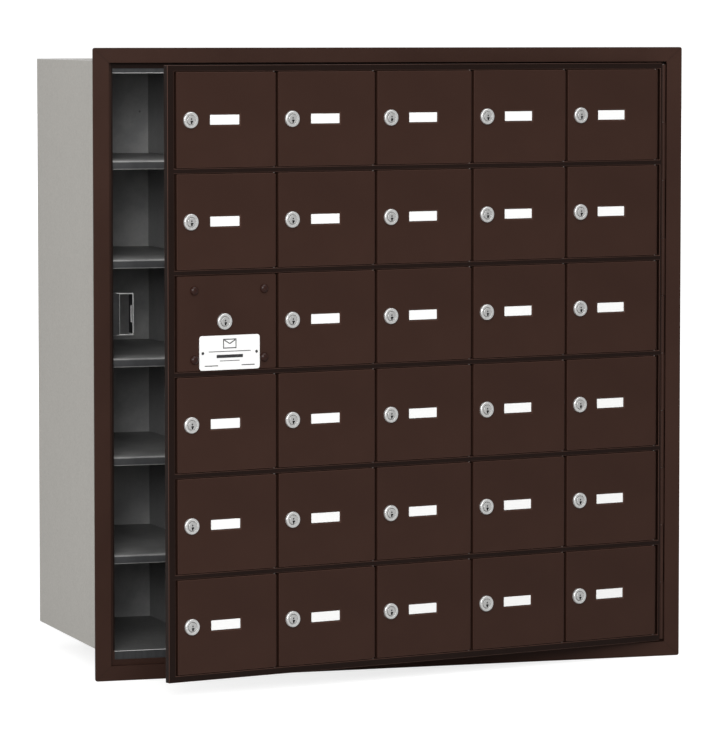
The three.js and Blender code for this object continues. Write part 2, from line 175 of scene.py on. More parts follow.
def add_prism(bm, outline, y_front, y_back, chamfer=0.0):
    """An outline in X and Z extruded along Y, with its front edge chamfered."""
    cx = sum(p[0] for p in outline) / len(outline)
    cz = sum(p[1] for p in outline) / len(outline)
    reach = max(math.hypot(p[0] - cx, p[1] - cz) for p in outline)
    shrink = 1 - chamfer / reach
    front = [(cx + (x - cx) * shrink, cz + (z - cz) * shrink) for x, z in outline]
    levels = [(front, y_front), (outline, y_front + chamfer), (outline, y_back)]
    if chamfer == 0:
        levels = levels[1:]
    rings = [[bm.verts.new((x, y, z)) for x, z in points] for points, y in levels]
    for a, b in zip(rings, rings[1:]):
        for step in range(len(a)):
            after = (step + 1) % len(a)
            bm.faces.new((a[step], a[after], b[after], b[step]))
    bm.faces.new(rings[0])
    bm.faces.new(list(reversed(rings[-1])))


def arc_points(cx, cy, radius, start, end, steps):
    """Points of an arc in a plane, angles in degrees."""
    points = []
    for step in range(steps + 1):
        angle = math.radians(start + (end - start) * step / steps)
        points.append((cx + radius * math.cos(angle), cy + radius * math.sin(angle)))
    return points


def cut_from(target, cutter):
    """Cuts one object's solid out of another and keeps the result as a plain mesh."""
    modifier = target.modifiers.new("cut", "BOOLEAN")
    modifier.object = cutter
    modifier.solver = "EXACT"
    depsgraph = bpy.context.evaluated_depsgraph_get()
    mesh = bpy.data.meshes.new_from_object(target.evaluated_get(depsgraph))
    target.modifiers.clear()
    target.data = mesh
    bpy.data.objects.remove(cutter)


def place(source, name, matrix, body):
    """A copy of a piece that shares its mesh, put in the CAD's frame and riding on a body."""
    copy = bpy.data.objects.new(name, source.data)
    bpy.context.scene.collection.objects.link(copy)
    copy.matrix_world = matrix
    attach(copy, body)
    return copy


# ---- Materials --------------------------------------------------------------------------------


class Nodes:
    """A material's node tree, with short calls for the nodes used here."""

    def __init__(self, name):
        self.material = bpy.data.materials.new(name)
        self.material.use_nodes = True
        self.tree = self.material.node_tree
        self.shader = self.tree.nodes["Principled BSDF"]
        self.coordinates = self.tree.nodes.new("ShaderNodeTexCoord")
        self.position = self.coordinates.outputs["Object"]

    def link(self, output, node, socket):
        self.tree.links.new(output, node.inputs[socket])

    def stretched(self, scale):
        node = self.tree.nodes.new("ShaderNodeMapping")
        node.inputs["Scale"].default_value = scale
        self.link(self.position, node, "Vector")
        return node.outputs["Vector"]

    def noise(self, scale, detail=3.0, roughness=0.5, vector=None):
        node = self.tree.nodes.new("ShaderNodeTexNoise")
        node.inputs["Scale"].default_value = scale
        node.inputs["Detail"].default_value = detail
        node.inputs["Roughness"].default_value = roughness
        self.link(vector or self.position, node, "Vector")
        return node.outputs["Fac"]

    def ramp(self, value, low, high, low_at=0.3, high_at=0.7):
        node = self.tree.nodes.new("ShaderNodeValToRGB")
        node.color_ramp.elements[0].position = low_at
        node.color_ramp.elements[1].position = high_at
        node.color_ramp.elements[0].color = (*low, 1)
        node.color_ramp.elements[1].color = (*high, 1)
        self.link(value, node, "Fac")
        return node.outputs["Color"]

    def level(self, value, low, high):
        node = self.tree.nodes.new("ShaderNodeMapRange")
        node.inputs["To Min"].default_value = low
        node.inputs["To Max"].default_value = high
        self.link(value, node, "Value")
        return node.outputs["Result"]

    def math(self, operation, a, b=None):
        node = self.tree.nodes.new("ShaderNodeMath")
        node.operation = operation
        for index, value in enumerate((a, b)):
            if value is None:
                continue
            if isinstance(value, (int, float)):
                node.inputs[index].default_value = value
            else:
                self.link(value, node, index)
        return node.outputs["Value"]

    def mix(self, factor, a, b):
        node = self.tree.nodes.new("ShaderNodeMix")
        node.data_type = "RGBA"
        self.link(factor, node, "Factor")
        for socket, value in (("A", a), ("B", b)):
            target = next(s for s in node.inputs if s.name == socket and s.type == "RGBA")
            if isinstance(value, tuple):
                target.default_value = (*value, 1)
            else:
                self.tree.links.new(value, target)
        return next(s for s in node.outputs if s.type == "RGBA")

    def along(self, vector, direction, origin=(0, 0, 0)):
        """How far a vector output reaches along a direction, counted from an origin."""
        shift = self.tree.nodes.new("ShaderNodeVectorMath")
        shift.operation = "SUBTRACT"
        self.link(vector, shift, 0)
        shift.inputs[1].default_value = origin
        dot = self.tree.nodes.new("ShaderNodeVectorMath")
        dot.operation = "DOT_PRODUCT"
        self.link(shift.outputs["Vector"], dot, 0)
        dot.inputs[1].default_value = direction
        return dot.outputs["Value"]

    def facing(self, direction):
        normal = self.coordinates.outputs["Normal"]
        return self.math("GREATER_THAN", self.along(normal, direction), 0.7)

    def behind(self, origin, direction):
        return self.math("GREATER_THAN", self.along(self.position, direction, origin), 0)

    def axes(self):
        node = self.tree.nodes.new("ShaderNodeSeparateXYZ")
        self.link(self.position, node, "Vector")
        return node.outputs["X"], node.outputs["Y"], node.outputs["Z"]

    def bump(self, height, strength, distance):
        node = self.tree.nodes.new("ShaderNodeBump")
        node.inputs["Strength"].default_value = strength
        node.inputs["Distance"].default_value = distance
        self.link(height, node, "Height")
        self.link(node.outputs["Normal"], self.shader, "Normal")

    def set(self, **values):
        for key, value in values.items():
            socket = self.shader.inputs[key.replace("_", " ")]
            if isinstance(value, (int, float)):
                socket.default_value = value
            elif isinstance(value, tuple):
                socket.default_value = (*value, 1)
            else:
                self.tree.links.new(value, socket)


def bronze_paint(name, low, high, roughness=(0.36, 0.5), gloss=0.12, painted_shade=None):
    """Satin powder coat: two close browns, a fine orange peel and slightly uneven gloss, with
    painted shade at 0.3 of the tone where a mask is given.
    """
    m = Nodes(name)
    drift = m.noise(9, 4)
    tone = m.ramp(drift, low, high)
    # Painted shade: the masked faces take the browns at 0.3 of their strength.
    if painted_shade:
        shade_tones = [tuple(c * 0.3 for c in end) for end in (low, high)]
        tone = m.mix(painted_shade(m), tone, m.ramp(drift, *shade_tones))
    m.set(Base_Color=tone, Metallic=0.0)
    m.set(Roughness=m.level(m.noise(60, 3), *roughness), Specular_IOR_Level=gloss)
    m.bump(m.noise(900, 2), 0.16, 0.00025)
    return m.material


def pale_outside(m):
    """The warm pale grey of the cabinet's outer faces, with a fine even speckle."""
    return m.ramp(m.noise(330, 4, 0.65), (0.43, 0.415, 0.385), (0.50, 0.483, 0.45), 0.35, 0.65)


def cabinet_metal():
    """Dull mill-finish sheet: pale and warm outside, darker on the inner faces, and painted shade on
    the faces that look to the front.
    """
    m = Nodes("cabinet_metal")
    low, high = (Vector(c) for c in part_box("cabinet_shell"))
    x, _, z = m.axes()
    skin = 0.6 * MM
    beyond_side = m.math("GREATER_THAN", m.math("ABSOLUTE", x), high.x - skin)
    beyond_top = m.math("GREATER_THAN", z, high.z - skin)
    floor_face = m.math("LESS_THAN", m.math("ABSOLUTE", m.math("SUBTRACT", z, SHELL_BOTTOM)), skin)
    outside = m.math("MAXIMUM", m.math("MAXIMUM", beyond_side, beyond_top), floor_face)
    grain = m.noise(260, 4, 0.6, m.stretched((1, 1, 0.06)))
    inner = m.ramp(grain, (0.24, 0.24, 0.24), (0.30, 0.30, 0.295), 0.35, 0.65)
    # Painted shade: near-black for the faces that look to the front, such as the flange round the
    # opening.
    front = m.ramp(grain, (0.030, 0.031, 0.033), (0.042, 0.043, 0.045), 0.35, 0.65)
    walls = m.mix(outside, inner, pale_outside(m))
    m.set(Base_Color=m.mix(m.facing((0, -1, 0)), walls, front), Metallic=0.25)
    m.set(Roughness=m.level(m.noise(40, 3), 0.42, 0.6))
    m.bump(grain, 0.12, 0.0002)
    return m.material


def inner_metal(name, low, high, metallic=0.45):
    """Galvanised sheet with a soft mottle and a fine rolled grain."""
    m = Nodes(name)
    mottle = m.noise(35, 5, 0.65)
    grain = m.noise(300, 3, 0.6, m.stretched((0.08, 1, 1)))
    both = m.math("ADD", m.math("MULTIPLY", mottle, 0.6), m.math("MULTIPLY", grain, 0.4))
    m.set(Base_Color=m.ramp(both, low, high, 0.4, 0.62), Metallic=metallic)
    m.set(Roughness=m.level(mottle, 0.38, 0.58))
    m.bump(grain, 0.1, 0.0002)
    return m.material


def back_metal():
    """The back panel: pale outside like the wrapper, and darker inside."""
    m = Nodes("back_metal")
    mottle = m.noise(35, 5, 0.65)
    inner = m.ramp(mottle, (0.35, 0.35, 0.35), (0.43, 0.43, 0.425), 0.4, 0.62)
    m.set(Base_Color=m.mix(m.facing((0, 1, 0)), inner, pale_outside(m)), Metallic=0.15)
    m.set(Roughness=m.level(mottle, 0.4, 0.58))
    m.bump(m.noise(300, 3, 0.6), 0.1, 0.0002)
    return m.material


def shelf_metal():
    """Shelf sheet whose folded lip has painted shade on its front face and a painted highlight along
    its two bends.
    """
    m = Nodes("shelf_metal")
    mottle = m.noise(35, 5, 0.65)
    sheet = m.ramp(mottle, (0.27, 0.27, 0.27), (0.34, 0.34, 0.335), 0.4, 0.62)
    # Painted shade on the lip's front face, and a painted highlight along its two bends.
    painted_shade = m.ramp(mottle, (0.036, 0.037, 0.039), (0.050, 0.051, 0.053), 0.4, 0.62)
    painted_highlight = m.ramp(mottle, (0.19, 0.19, 0.19), (0.26, 0.26, 0.255), 0.4, 0.62)
    height = m.axes()[2]
    bends = m.math("MAXIMUM", m.math("GREATER_THAN", height, -2.2 * MM),
                   m.math("LESS_THAN", height, -11.0 * MM))
    lip = m.mix(bends, painted_shade, painted_highlight)
    m.set(Base_Color=m.mix(m.facing((0, -1, 0)), sheet, lip), Metallic=0.15)
    m.set(Roughness=m.level(mottle, 0.38, 0.58))
    m.bump(m.noise(300, 3, 0.6), 0.1, 0.0002)
    return m.material


def keeper_edge():
    """The keeper's edges: a painted highlight round the pocket and painted shade on its mounting
    strip.
    """
    m = Nodes("keeper_edge")
    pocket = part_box("strike_keeper")[1][0] - 24 * MM
    mottle = m.noise(60, 4)
    # Painted shade on the strip's edges, and a painted highlight on the edges round the pocket.
    dark = m.ramp(mottle, (0.016, 0.016, 0.017), (0.026, 0.026, 0.027))
    painted_highlight = m.ramp(mottle, (0.62, 0.62, 0.62), (0.74, 0.74, 0.73))
    m.set(Base_Color=m.mix(m.behind((pocket, 0, 0), (1, 0, 0)), dark, painted_highlight), Metallic=0.2)
    m.set(Roughness=m.level(mottle, 0.38, 0.5))
    return m.material


def lock_metal(name, tone, roughness=(0.2, 0.34), metallic=0.65):
    """Satin nickel with a fine turned grain."""
    m = Nodes(name)
    grain = m.noise(700, 3, 0.6)
    dark = tuple(c * 0.88 for c in tone)
    m.set(Base_Color=m.ramp(grain, dark, tone), Metallic=metallic)
    m.set(Roughness=m.level(grain, *roughness))
    m.bump(grain, 0.08, 0.0001)
    return m.material


def white_stock(name, tone, roughness, fibre):
    """White card or enamel: a very light mottle and a fine tooth."""
    m = Nodes(name)
    tooth = m.noise(fibre, 4, 0.7)
    warm = tuple(c * 0.965 for c in tone)
    m.set(Base_Color=m.ramp(tooth, warm, tone), Metallic=0.0)
    m.set(Roughness=m.level(tooth, roughness - 0.06, roughness + 0.06))
    m.bump(tooth, 0.05, 0.0001)
    return m.material


def plain_ink():
    m = Nodes("print_ink")
    m.set(Base_Color=m.ramp(m.noise(500, 3), (0.012, 0.012, 0.014), (0.03, 0.03, 0.033)))
    m.set(Roughness=m.level(m.noise(200), 0.5, 0.65))
    return m.material


# The way the closed door's +Y points at rest gives how far the master door stands open.
inward = Vector(JOINTS["master_lock_turn"]["axis"])
ajar = Matrix.Rotation(math.atan2(-inward.x, inward.y), 4, "Z")
hinge_at = Vector(JOINTS["master_door_hinge"]["pos_m"])


def frame_at(joint):
    return Matrix.Translation(Vector(JOINTS[joint]["pos_m"])) @ ajar


def door_frame(door):
    return frame_at(f"tenant_door_{door}_hinge")


def trim_shade_mask(m):
    """Where the trim gets painted shade: its return into the opening, along its top and its hinge
    side.
    """
    corner = (-397 * MM, -0.4 * MM, 30 * MM)
    return m.math("MULTIPLY", m.behind(corner, (0, 1, 0)),
                  m.math("MULTIPLY", m.behind(corner, (1, 0, 0)), m.behind(corner, (0, 0, 1))))


def door_shade_mask(m):
    # Painted shade on the master door's outer side face, and on its faces set back behind a plane
    # 1.2 mm in front of the hinge axis, in the gaps and recesses.
    outer_side = m.facing(ajar @ Vector((-1, 0, 0)))
    return m.math("MAXIMUM", outer_side, m.behind(hinge_at - inward * 1.2 * MM, inward))


BROWNS = (0.033, 0.0150, 0.0105), (0.040, 0.0185, 0.0130)
BRONZE = bronze_paint("bronze_paint", *BROWNS)
# The trim's bronze, with painted shade on its return into the opening.
TRIM_BRONZE_SHADED = bronze_paint("trim_bronze_shaded", *BROWNS, painted_shade=trim_shade_mask)
DOOR_BRONZE_SHADED = bronze_paint("door_bronze_shaded", *BROWNS, painted_shade=door_shade_mask)
# A lighter, glossier brown for the rounded edges: a painted highlight.
BRONZE_HIGHLIGHT_EDGE = bronze_paint("bronze_edge_highlight", (0.066, 0.033, 0.024), (0.08, 0.04, 0.03), (0.3, 0.4))
BOLT_PAINT = bronze_paint("bronze_bolt", (0.021, 0.0068, 0.0045), (0.027, 0.009, 0.006),
                          (0.24, 0.3), 0.22)
SEAM = bronze_paint("bronze_seam", (0.010, 0.006, 0.005), (0.014, 0.008, 0.006))
INNER = inner_metal("inner_metal", (0.36, 0.36, 0.36), (0.44, 0.44, 0.435), 0.1)
SHELF = shelf_metal()
# Bright sheet for the cabinet shell's rounded edges: a painted highlight along its bends and hems.
SHELL_EDGE_HIGHLIGHT = inner_metal("shelf_edge", (0.70, 0.70, 0.70), (0.82, 0.82, 0.81), 0.2)
STEEL = inner_metal("zinc_steel", (0.20, 0.20, 0.20), (0.28, 0.28, 0.275), 0.5)
# Near-black steel: painted shade on the keeper deep in the cabinet, and the dark rivet heads.
DARK_STEEL_AND_SHADE = inner_metal("keeper_steel_and_shade", (0.016, 0.016, 0.017), (0.026, 0.026, 0.027), 0.3)
NICKEL = lock_metal("satin_nickel", (0.80, 0.80, 0.79))
PLUG_METAL = lock_metal("plug_face", (0.66, 0.66, 0.65), (0.26, 0.42))
# Near-black for the keyway's inner walls: painted shade in the slot.
KEYWAY_SHADE = lock_metal("keyway_painted_shade", (0.012, 0.012, 0.012), (0.5, 0.65))
CARD_STOCK = white_stock("card_stock", (0.93, 0.93, 0.92), 0.55, 400)
ENAMEL = white_stock("plate_enamel", (0.92, 0.92, 0.91), 0.3, 160)
INK = plain_ink()

# ---- CAD nodes that stay: soften their edges and give them their finish -----------------------


def round_over(piece, width, material):
    """Rounds a piece's sharp edges and keeps the shading of its flat faces flat."""
    soft = piece.modifiers.new("edges", "BEVEL")
    soft.width = width
    soft.segments = 2
    soft.limit_method = "ANGLE"
    soft.angle_limit = ROUND_ABOVE
    # The rounded edges take the piece's last material; where that is a brighter one, it is a painted
    # highlight.
    soft.material = material
    even = piece.modifiers.new("normals", "WEIGHTED_NORMAL")
    even.mode = "FACE_AREA"
    even.weight = 100


def dress_node(name, materials, bevel):
    """Finish for a CAD node, with its sharp edges rounded over unless the bevel is zero."""
    node = NODES[name]
    node.data.materials.clear()
    for material in materials:
        node.data.materials.append(material)
    custom = node.data.attributes.get("custom_normal")
    if custom:
        node.data.attributes.remove(custom)
    for polygon in node.data.polygons:
        polygon.use_smooth = bool(bevel)
    weld = node.modifiers.new("weld", "WELD")
    weld.merge_threshold = 0.01 * MM
    if not bevel:
        return
    flat = node.modifiers.new("flat", "DECIMATE")
    flat.decimate_type = "DISSOLVE"
    flat.angle_limit = math.radians(1)
    round_over(node, bevel, len(materials) - 1)


def remade(node, at, materials, bevel):
    """A CAD node's shape in its own frame, with exact corners and its sharp edges rounded over."""
    bm = bmesh.new()
    bm.from_mesh(NODES[node].data)
    bm.transform(at.inverted())
    for vert in bm.verts:
        vert.co = [round(c / SNAP) * SNAP for c in vert.co]
    bmesh.ops.remove_doubles(bm, verts=bm.verts, dist=2 * SNAP)
    bmesh.ops.dissolve_degenerate(bm, edges=bm.edges, dist=2 * SNAP)
    bmesh.ops.dissolve_limit(bm, angle_limit=math.radians(0.4), verts=bm.verts, edges=bm.edges)
    source = obj_from(bm, node + "_source")
    finish_source(source, *materials)
    for polygon in source.data.polygons:
        polygon.use_smooth = True
    round_over(source, bevel, len(materials) - 1)
    depsgraph = bpy.context.evaluated_depsgraph_get()
    source.data = bpy.data.meshes.new_from_object(source.evaluated_get(depsgraph))
    source.modifiers.clear()
    return source


def stand_in(source, name, at, body, node):
    """A placed piece that stands for a CAD node."""
    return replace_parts(place(source, name, at, body), node)


def finish_source(source, *materials):
    for material in materials:
        source.data.materials.append(material)
    return source


WORLD = Matrix.Identity(4)
MASTER_AT = frame_at("master_door_hinge")
trim = remade("trim_frame", WORLD, [TRIM_BRONZE_SHADED, BRONZE_HIGHLIGHT_EDGE], 0.7 * MM)
stand_in(trim, "trim", WORLD, "cabinet", "trim_frame")
lattice = remade("master_door_frame", MASTER_AT, [DOOR_BRONZE_SHADED, BRONZE_HIGHLIGHT_EDGE], 0.5 * MM)
stand_in(lattice, "master_door_lattice", MASTER_AT, "master_door",
         "master_door_frame")
panel = remade("master_lock_panel", MASTER_AT, [BRONZE, BRONZE_HIGHLIGHT_EDGE], 0.6 * MM)
stand_in(panel, "lock_panel", MASTER_AT, "master_door", "master_lock_panel")
first = DOOR_PLACES[0]
leaf = remade(f"tenant_door_{first}", door_frame(first), [BRONZE, BRONZE_HIGHLIGHT_EDGE], 0.45 * MM)
for door in DOOR_PLACES:
    node = f"tenant_door_{door}"
    stand_in(leaf, f"tenant_leaf_{door}", door_frame(door), node, node)
for source in (trim, lattice, panel, leaf):
    bpy.data.objects.remove(source)

dress_node("hinge_leaf_trim", [BRONZE], 0)
dress_node("hinge_leaf_door", [BRONZE], 0)
dress_node("hinge_pin", [STEEL], 0)
# The shell's rounded edges take a painted highlight, and its front faces take painted shade.
dress_node("cabinet_shell", [cabinet_metal(), SHELL_EDGE_HIGHLIGHT], 0.6 * MM)
dress_node("cabinet_back", [back_metal()], 0)
grow = NODES["cabinet_back"].modifiers.new("seal", "DISPLACE")
grow.strength = 0.45 * MM
grow.mid_level = 0
# The keeper's body is painted shade; the edges round its pocket take a painted highlight.
dress_node("strike_keeper", [DARK_STEEL_AND_SHADE, keeper_edge()], 0.5 * MM)
dress_node("master_lock_case", [STEEL], 0.4 * MM)
dress_node("master_lock_bolt", [STEEL], 0.5 * MM)
dress_node("id_plate", [ENAMEL], 0.25 * MM)
for name in sorted(NODES):
    if name.startswith("partition_"):
        dress_node(name, [INNER], 0.25 * MM)

# ---- Shelves ----------------------------------------------------------------------------------


def folded_shelf():
    """A shelf seen from its front top edge: a rounded fold, a lip and slots for the partitions."""
    low, high = (Vector(c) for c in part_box("shelf_1"))
    partitions = [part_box(n) for n in sorted(NODES) if n.startswith("partition_")]
    sheet, lip, depth = SHELF_SHEET, high.z - low.z, high.y - low.y
    outer, inner, hem = SHELF_FOLD, SHELF_FOLD - SHELF_SHEET, 0.45 * MM
    profile = [(depth, 0)]
    profile += arc_points(outer, -outer, outer, 90, 180, 8)
    profile += arc_points(hem, hem - lip, hem, 180, 270, 4)
    profile += arc_points(sheet - hem, hem - lip, hem, 270, 360, 4)
    profile += arc_points(outer, -outer, inner, 180, 90, 6)
    profile += [(depth, -sheet)]
    bm = bmesh.new()
    ends = [[bm.verts.new((x, y, z)) for y, z in profile] for x in (low.x, high.x)]
    for step in range(len(profile)):
        after = (step + 1) % len(profile)
        bm.faces.new((ends[0][step], ends[1][step], ends[1][after], ends[0][after]))
    bm.faces.new(list(reversed(ends[0])))
    bm.faces.new(ends[1])
    shelf = obj_from(bm, "shelf_source")
    slot_air = 0.3 * MM
    for near, far in partitions:
        lap_end = (near[1] + high.y) / 2 + slot_air - low.y
        lap_start = near[1] - slot_air - low.y
        x = (near[0] + far[0]) / 2
        half = (far[0] - near[0]) / 2 + slot_air
        bm = bmesh.new()
        outline = [(x - half, -4 * sheet), (x + half, -4 * sheet), (x + half, 2 * sheet),
                   (x - half, 2 * sheet)]
        add_prism(bm, outline, lap_start, lap_end)
        cut_from(shelf, obj_from(bm, "slot_cutter"))
    shelf.data.set_sharp_from_angle(angle=SMOOTH_BELOW)
    return finish_source(shelf, SHELF)


shelf = folded_shelf()
for name in sorted(NODES):
    if name.startswith("shelf_"):
        low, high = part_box(name)
        at = Matrix.Translation((0, low[1], high[2]))
        stand_in(shelf, name.replace("shelf", "mail_shelf"), at, "cabinet", name)
bpy.data.objects.remove(shelf)

# ---- Locks ------------------------------------------------------------------------------------


def lock_housing():
    """The fixed cylinder of a cam lock: domed face ring, groove round the plug, barrel behind."""
    bm = bmesh.new()
    face = LEAF_FRONT - PLUG_PROUD
    inner = PLUG_RADIUS + 0.35 * MM
    profile = [(inner, face + 1.4 * MM), (inner + 0.3 * MM, face + 0.9 * MM)]
    profile += [(7.3 * MM, face + 0.1 * MM), (8.0 * MM, face - 0.05 * MM)]
    profile += arc_points(9.3 * MM, face + 1.5 * MM, 1.5 * MM, -95, 0, 8)
    profile += [(10.9 * MM, LEAF_FRONT - 0.9 * MM), (10.9 * MM, LEAF_FRONT - 0.02 * MM)]
    profile += [(9.3 * MM, LEAF_FRONT - 0.02 * MM), (9.3 * MM, 5.6 * MM), (inner, 5.6 * MM)]
    add_lathe(bm, profile, 56, closed=True)
    return obj_from(bm, "lock_housing_source")


def plug_body(bm, back):
    """The turning plug: a rounded front edge, then plain to its back end."""
    face = LEAF_FRONT - PLUG_PROUD
    profile = [(0, face), (PLUG_RADIUS - 0.9 * MM, face)]
    profile += arc_points(PLUG_RADIUS - 0.5 * MM, face + 0.5 * MM, 0.5 * MM, -90, 0, 4)
    profile += [(PLUG_RADIUS, back), (0, back)]
    add_lathe(bm, profile, 48)


def cut_keyway(plug):
    """Cuts the keyway and its wider head below the centre, and a guide dot above it."""
    face = LEAF_FRONT - PLUG_PROUD
    bm = bmesh.new()
    slot = rounded_outline(2.2 * MM, 4.4 * MM, 0.6 * MM, (0, -3.0 * MM), 3)
    add_prism(bm, slot, face - 1 * MM, face + 2.8 * MM)
    cut_from(plug, obj_from(bm, "keyway_cutter"))
    bm = bmesh.new()
    add_prism(bm, rounded_outline(4.0 * MM, 1.9 * MM, 0.7 * MM, (0.3 * MM, -1.9 * MM), 3),
              face - 1 * MM, face + 2.4 * MM)
    cut_from(plug, obj_from(bm, "keyway_head_cutter"))
    bm = bmesh.new()
    add_lathe(bm, [(0, face - 1 * MM), (1.15 * MM, face - 1 * MM), (1.15 * MM, face + 1.2 * MM),
                   (0, face + 1.2 * MM)], 20, centre=(0, 1.3 * MM))
    cut_from(plug, obj_from(bm, "dot_cutter"))
    bm = bmesh.new()
    bm.from_mesh(plug.data)
    bmesh.ops.dissolve_degenerate(bm, dist=SNAP, edges=bm.edges)
    bmesh.ops.triangulate(bm, faces=[f for f in bm.faces if len(f.verts) > 4])
    bmesh.ops.dissolve_degenerate(bm, dist=SNAP, edges=bm.edges)
    bm.to_mesh(plug.data)
    bm.free()
    # Faces deep in the keyway and the dot take the second material, painted shade.
    for polygon in plug.data.polygons:
        middle = polygon.center
        deep = face + 0.6 * MM < middle.y < face + 2.9 * MM
        if deep and math.hypot(middle.x, middle.z) < 5.5 * MM:
            polygon.material_index = 1
    plug.data.set_sharp_from_angle(angle=SMOOTH_BELOW)


def hexagon(radius):
    return [(radius * math.cos(math.radians(a)), radius * math.sin(math.radians(a)))
            for a in range(30, 390, 60)]


def tenant_lock():
    """Plug, cam and nut of a tenant lock, unlocked, with the cam hanging down."""
    bm = bmesh.new()
    plug_body(bm, CAM_Y)
    plug = obj_from(bm, "tenant_lock_source")
    cut_keyway(plug)
    bm = bmesh.new()
    bm.from_mesh(plug.data)
    half = CAM_WIDTH / 2
    arm = rounded_outline(CAM_WIDTH, CAM_LENGTH + half, half - 0.01 * MM,
                          (0, (half - CAM_LENGTH) / 2), 10)
    add_prism(bm, arm, CAM_Y, CAM_Y + CAM_THICK, 0.25 * MM)
    add_prism(bm, hexagon(4.4 * MM), CAM_Y + CAM_THICK, CAM_Y + CAM_THICK + 1.6 * MM, 0.2 * MM)
    add_lathe(bm, [(0, CAM_Y + CAM_THICK + 2.2 * MM), (2.1 * MM, CAM_Y + CAM_THICK + 2.2 * MM),
                   (2.4 * MM, CAM_Y + CAM_THICK + 1.9 * MM), (2.4 * MM, CAM_Y), (0, CAM_Y)], 24)
    bmesh.ops.recalc_face_normals(bm, faces=bm.faces)
    bm.to_mesh(plug.data)
    bm.free()
    return plug


def master_plug():
    """Plug, crank disc and crank pin of the carrier's lock, with the bolt drawn back."""
    bm = bmesh.new()
    plug_body(bm, CRANK_DISC[0])
    plug = obj_from(bm, "master_plug_source")
    cut_keyway(plug)
    bm = bmesh.new()
    bm.from_mesh(plug.data)
    edge = CRANK_RADIUS + 3.5 * MM
    add_lathe(bm, [(0, CRANK_DISC[0]), (edge - 0.4 * MM, CRANK_DISC[0]),
                   (edge, CRANK_DISC[0] + 0.4 * MM), (edge, CRANK_DISC[1] - 0.4 * MM),
                   (edge - 0.4 * MM, CRANK_DISC[1]), (0, CRANK_DISC[1])], 64)
    lean = CRANK_RADIUS * math.sqrt(0.5)
    add_lathe(bm, [(0, CRANK_DISC[1]), (2.4 * MM, CRANK_DISC[1]),
                   (2.4 * MM, CRANK_PIN_END - 0.4 * MM), (2.0 * MM, CRANK_PIN_END),
                   (0, CRANK_PIN_END)], 24, centre=(lean, -lean))
    bmesh.ops.recalc_face_normals(bm, faces=bm.faces)
    bm.to_mesh(plug.data)
    bm.free()
    return plug


first_lock = next(n for n in sorted(JOINTS) if n.startswith("tenant_lock_"))
first_door = first_lock[len("tenant_lock_"):-len("_turn")]
lock_offset = door_frame(first_door).inverted() @ frame_at(first_lock).translation
to_lock = Matrix.Translation(lock_offset)

housing = finish_source(lock_housing(), NICKEL)
turning = finish_source(tenant_lock(), PLUG_METAL, KEYWAY_SHADE)
for door in DOOR_PLACES:
    at = door_frame(door) @ to_lock
    place(housing, f"lock_housing_{door}", at, f"tenant_door_{door}")
    if f"tenant_lock_{door}" in BODIES:
        lock = place(turning, f"lock_plug_{door}", at, f"tenant_lock_{door}")
        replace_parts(lock, f"tenant_lock_{door}")
    else:
        place(turning, f"lock_plug_{door}", at, f"tenant_door_{door}")

master_at = frame_at("master_lock_turn")
place(housing, "master_lock_housing", master_at, "master_door")
crank = finish_source(master_plug(), PLUG_METAL, KEYWAY_SHADE)
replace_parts(place(crank, "master_lock_cylinder", master_at, "master_lock_plug"),
            "master_lock_plug")
for source in (housing, turning, crank):
    bpy.data.objects.remove(source)

# ---- Name cards -------------------------------------------------------------------------------


def name_card():
    """A blank card in the recess of its door."""
    bm = bmesh.new()
    outline = rounded_outline(*CARD_SIZE, 0.6 * MM, (CARD_MIDDLE, 0), 3)
    add_prism(bm, outline, CARD_FLOOR - 0.75 * MM, CARD_FLOOR - 0.05 * MM, 0.12 * MM)
    return obj_from(bm, "name_card_source")


card = finish_source(name_card(), CARD_STOCK)
for door in DOOR_PLACES:
    place(card, f"name_card_{door}", door_frame(door), f"tenant_door_{door}")
bpy.data.objects.remove(card)

# ---- Pivot pins of the tenant doors -----------------------------------------------------------


def pivot_pins():
    """The two short pins at the ends of a door's hinge barrel; they stop just short of the rails."""
    bm = bmesh.new()
    for end in (-1, 1):
        ring = [bm.verts.new((PIN_RADIUS * math.cos(a), PIN_RADIUS * math.sin(a), 0))
                for a in (2 * math.pi * n / 16 for n in range(16))]
        disc = bm.faces.new(ring)
        made = bmesh.ops.extrude_face_region(bm, geom=[disc])
        moved = [v for v in made["geom"] if isinstance(v, bmesh.types.BMVert)]
        bmesh.ops.translate(bm, verts=moved, vec=(0, 0, end * PIN_END))
        bmesh.ops.translate(bm, verts=ring, vec=(0, 0, end * PIN_START))
    return obj_from(bm, "pivot_pins_source")


pins = finish_source(pivot_pins(), STEEL)
for door in DOOR_PLACES:
    place(pins, f"pivot_pins_{door}", door_frame(door), f"tenant_door_{door}")
bpy.data.objects.remove(pins)

# ---- Master lock panel: carriage bolts, plate rivets and plate print --------------------------


def carriage_bolt(name):
    """A domed head, shank and hexagon nut."""
    bm = bmesh.new()
    seat = LEAF_FRONT - 0.25 * MM
    head = [(0, seat - BOLT_DOME)]
    head += [(BOLT_HEAD * math.sin(a), seat - BOLT_DOME * math.cos(a))
             for a in (math.radians(d) for d in range(10, 90, 10))]
    head += [(BOLT_HEAD, seat - 0.25 * MM), (5.8 * MM, seat), (BOLT_SHANK, seat)]
    head += [(BOLT_SHANK, 6.2 * MM), (2.5 * MM, 6.6 * MM), (0, 6.6 * MM)]
    add_lathe(bm, head, 40)
    add_prism(bm, hexagon(5.4 * MM), 2.1 * MM, 5.6 * MM, 0.3 * MM)
    return obj_from(bm, name)


